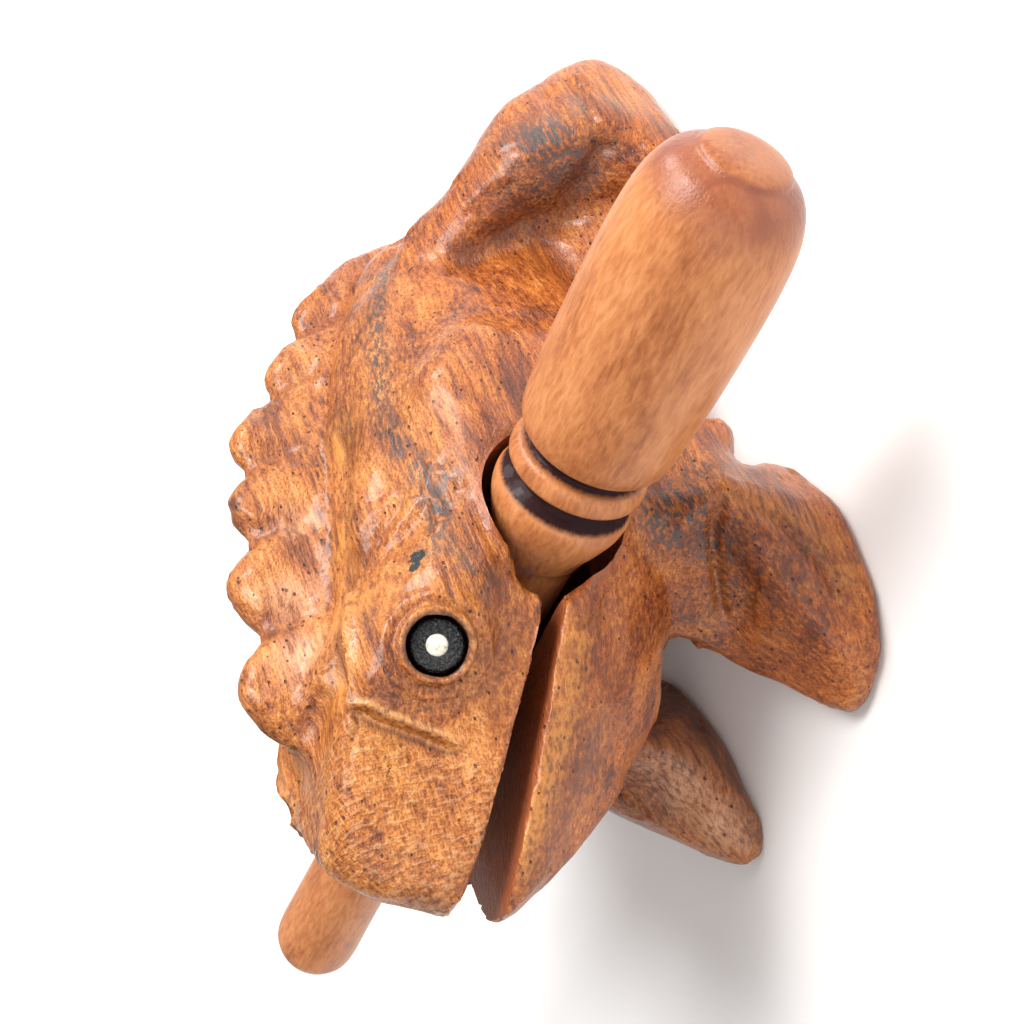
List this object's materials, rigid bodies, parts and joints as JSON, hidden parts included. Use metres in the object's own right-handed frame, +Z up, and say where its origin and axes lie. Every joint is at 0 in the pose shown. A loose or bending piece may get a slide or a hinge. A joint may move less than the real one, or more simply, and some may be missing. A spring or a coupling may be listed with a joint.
{
  "type": "wooden frog guiro",
  "caption": "Carved wooden croaking frog with a toothed crest down its back, an open mouth slot, and a turned striker stick that slides out of a bore through both cheeks.",
  "frame": {"origin": "centre of the base of the whole object's bounding box, on the surface it stands on", "axes": "+X to the frog's left, towards the striker's handle; -Y the way the frog faces; +Z up"},
  "size_m": [0.1244, 0.098, 0.06],
  "materials": {
    "stained_wood": "orange-brown stain and wax, satin, with open pores and tool marks",
    "pale_wood": "turned smooth and waxed, with dark stain in the collar's grooves",
    "black_lacquer": "glossy and slightly pitted",
    "white_paint": "matt"
  },
  "bodies": {
    "frog": {"frog_body": "stained_wood", "eye_left": "black_lacquer", "eye_right": "black_lacquer", "eye_dot_left": "white_paint", "eye_dot_right": "white_paint"},
    "striker": {"striker_stick": "pale_wood"}
  },
  "joints": [
    {"name": "striker_slide", "type": "slide", "parent": "frog", "child": "striker", "axis": [0.9997, 0, -0.0244], "range_m": [0, 0.084]}
  ]
}
